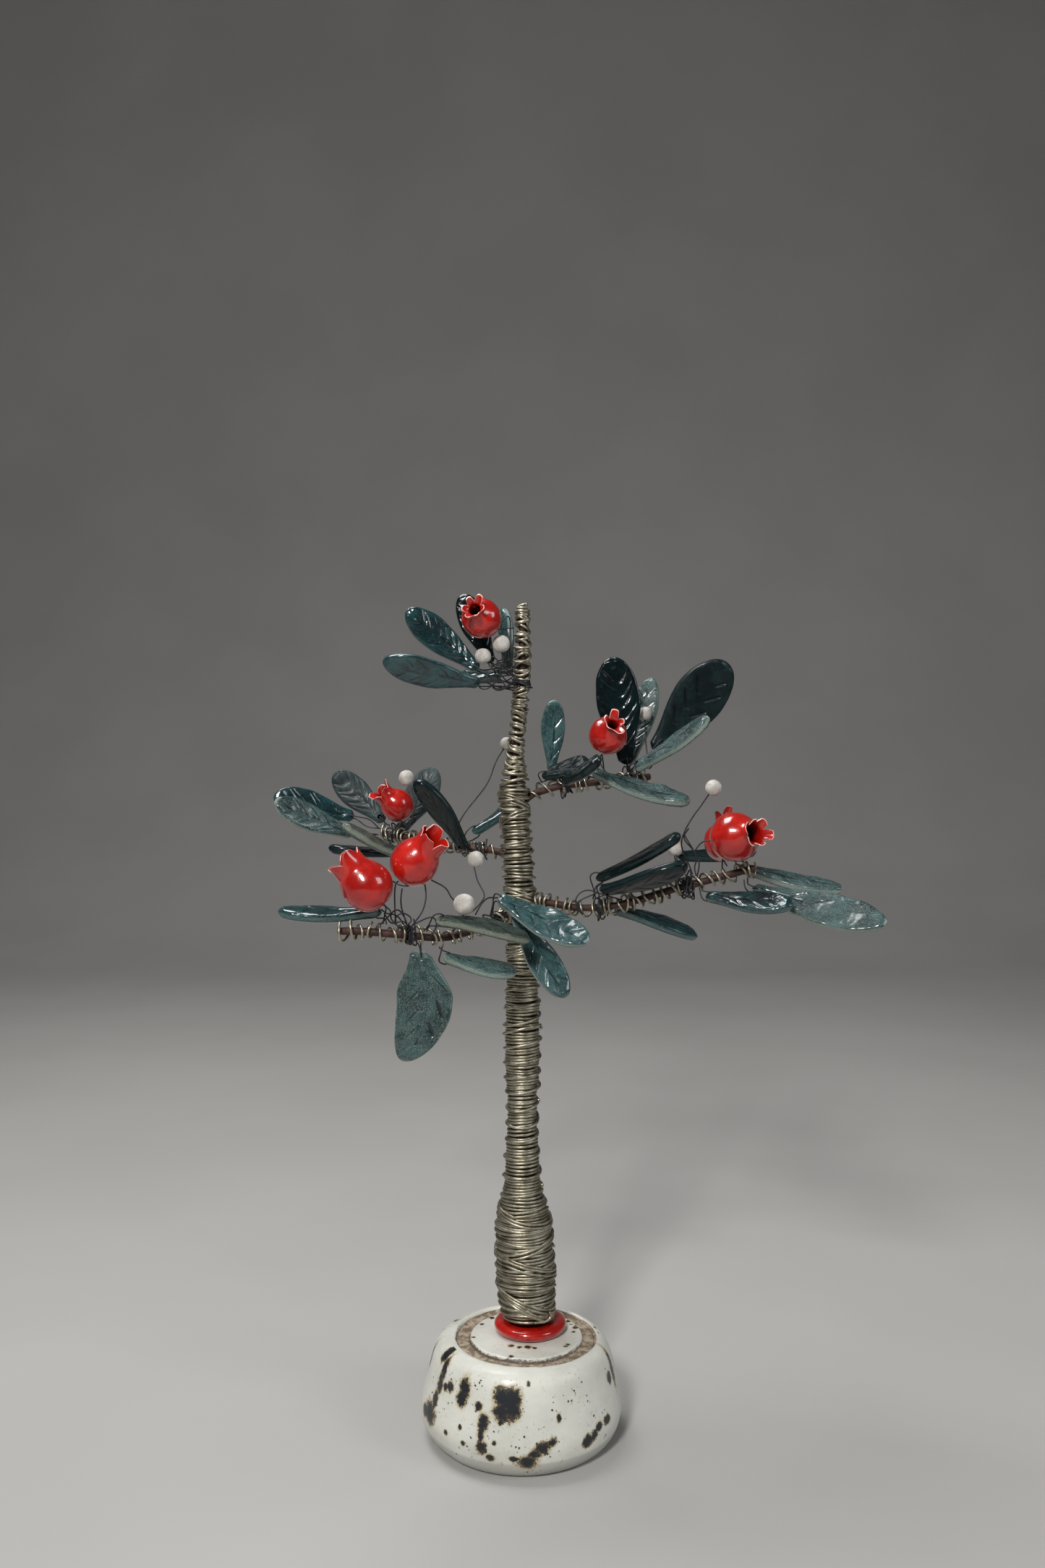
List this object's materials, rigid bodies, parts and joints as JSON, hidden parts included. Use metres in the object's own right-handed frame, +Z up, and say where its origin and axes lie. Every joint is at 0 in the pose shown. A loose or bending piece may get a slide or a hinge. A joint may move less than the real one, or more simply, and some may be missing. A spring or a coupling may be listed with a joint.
{
  "type": "tabletop tree sculpture",
  "caption": "Standing tree of glazed clay and wire: wire-wound trunk and branches on a round clay base, with tied-on leaves, hollow pomegranates and small berries.",
  "frame": {"origin": "centre of the base's flat foot, on the surface it stands on", "axes": "+Z up along the trunk; -Y towards the viewer of the tree's front; +X to that viewer's right"},
  "size_m": [0.2348, 0.1166, 0.3323],
  "materials": {
    "base_clay": "satin cream glaze with iron-brown blotches",
    "red_glaze": "gloss",
    "core_wire": "iron wire with a dark red-brown oxide skin",
    "pale_wire": "tarnished, satin",
    "black_wire": "black annealed",
    "white_clay": "matte",
    "leaf_glaze": "gloss, breaking to pale grey-green"
  },
  "bodies": {
    "tree": {"base": "base_clay", "collar": "red_glaze", "core_leader": "core_wire", "core_lower_left": "core_wire", "core_lower_right": "core_wire", "core_middle_left": "core_wire", "core_upper_right": "core_wire", "trunk_winding": "pale_wire", "tip_winding": "pale_wire", "coils_left": "pale_wire", "coils_right": "pale_wire", "tie_top": "black_wire", "tie_middle_left": "black_wire", "tie_upper_right": "black_wire", "tie_lower_right": "black_wire", "tie_lower_left": "black_wire", "fruit_front_left": "red_glaze", "fruit_left": "red_glaze", "fruit_top": "red_glaze", "fruit_upper": "red_glaze", "fruit_right_big": "red_glaze", "fruit_right_small": "red_glaze", "berries": "white_clay", "leaf_top_1": "leaf_glaze", "leaf_top_2": "leaf_glaze", "leaves_top_back": "leaf_glaze", "leaf_left_1": "leaf_glaze", "leaf_left_2": "leaf_glaze", "leaf_left_3": "leaf_glaze", "leaf_left_4": "leaf_glaze", "leaves_left_back": "leaf_glaze", "leaf_left_5": "leaf_glaze", "leaf_left_6": "leaf_glaze", "leaves_upper_near": "leaf_glaze", "leaf_upper_1": "leaf_glaze", "leaf_upper_2": "leaf_glaze", "leaf_upper_3": "leaf_glaze", "leaf_upper_4": "leaf_glaze", "leaf_upper_5": "leaf_glaze", "leaf_upper_6": "leaf_glaze", "leaf_right_1": "leaf_glaze", "leaf_right_2": "leaf_glaze", "leaf_right_3": "leaf_glaze", "leaf_right_4": "leaf_glaze", "leaf_right_5": "leaf_glaze", "leaf_right_6": "leaf_glaze", "leaf_right_7": "leaf_glaze", "leaf_front_1": "leaf_glaze", "leaf_front_2": "leaf_glaze", "leaf_front_3": "leaf_glaze", "leaf_front_4": "leaf_glaze", "leaf_front_5": "leaf_glaze"},
    "swaying_fruit": {"fruit_front_right": "red_glaze", "stem_fruit_front_right": "black_wire"},
    "back_berry": {"berry_back": "white_clay", "stem_berry_back": "black_wire"},
    "right_berry": {"berry_right": "white_clay", "stem_berry_right": "black_wire"},
    "hanging_leaf": {"leaf_hanging": "leaf_glaze"}
  },
  "joints": [
    {"name": "hanging_leaf_swing", "type": "hinge", "parent": "tree", "child": "hanging_leaf", "pos_m": [-0.0365, -0.041, 0.19278], "axis": [0, -1, 0], "range_deg": [-20, 20]},
    {"name": "fruit_stem_bend", "type": "hinge", "parent": "tree", "child": "swaying_fruit", "pos_m": [-0.04538, -0.0406, 0.20559], "axis": [0, 1, 0], "range_deg": [-3, 6], "stiffness_Nm_per_rad": 0.03},
    {"name": "back_berry_stem_bend", "type": "hinge", "parent": "tree", "child": "back_berry", "pos_m": [-0.02589, 0.01119, 0.23474], "axis": [0, 1, 0], "range_deg": [-8, 8], "stiffness_Nm_per_rad": 0.02},
    {"name": "right_berry_stem_bend", "type": "hinge", "parent": "tree", "child": "right_berry", "pos_m": [0.06522, -0.01722, 0.22196], "axis": [0, 1, 0], "range_deg": [-6, 6], "stiffness_Nm_per_rad": 0.02}
  ]
}
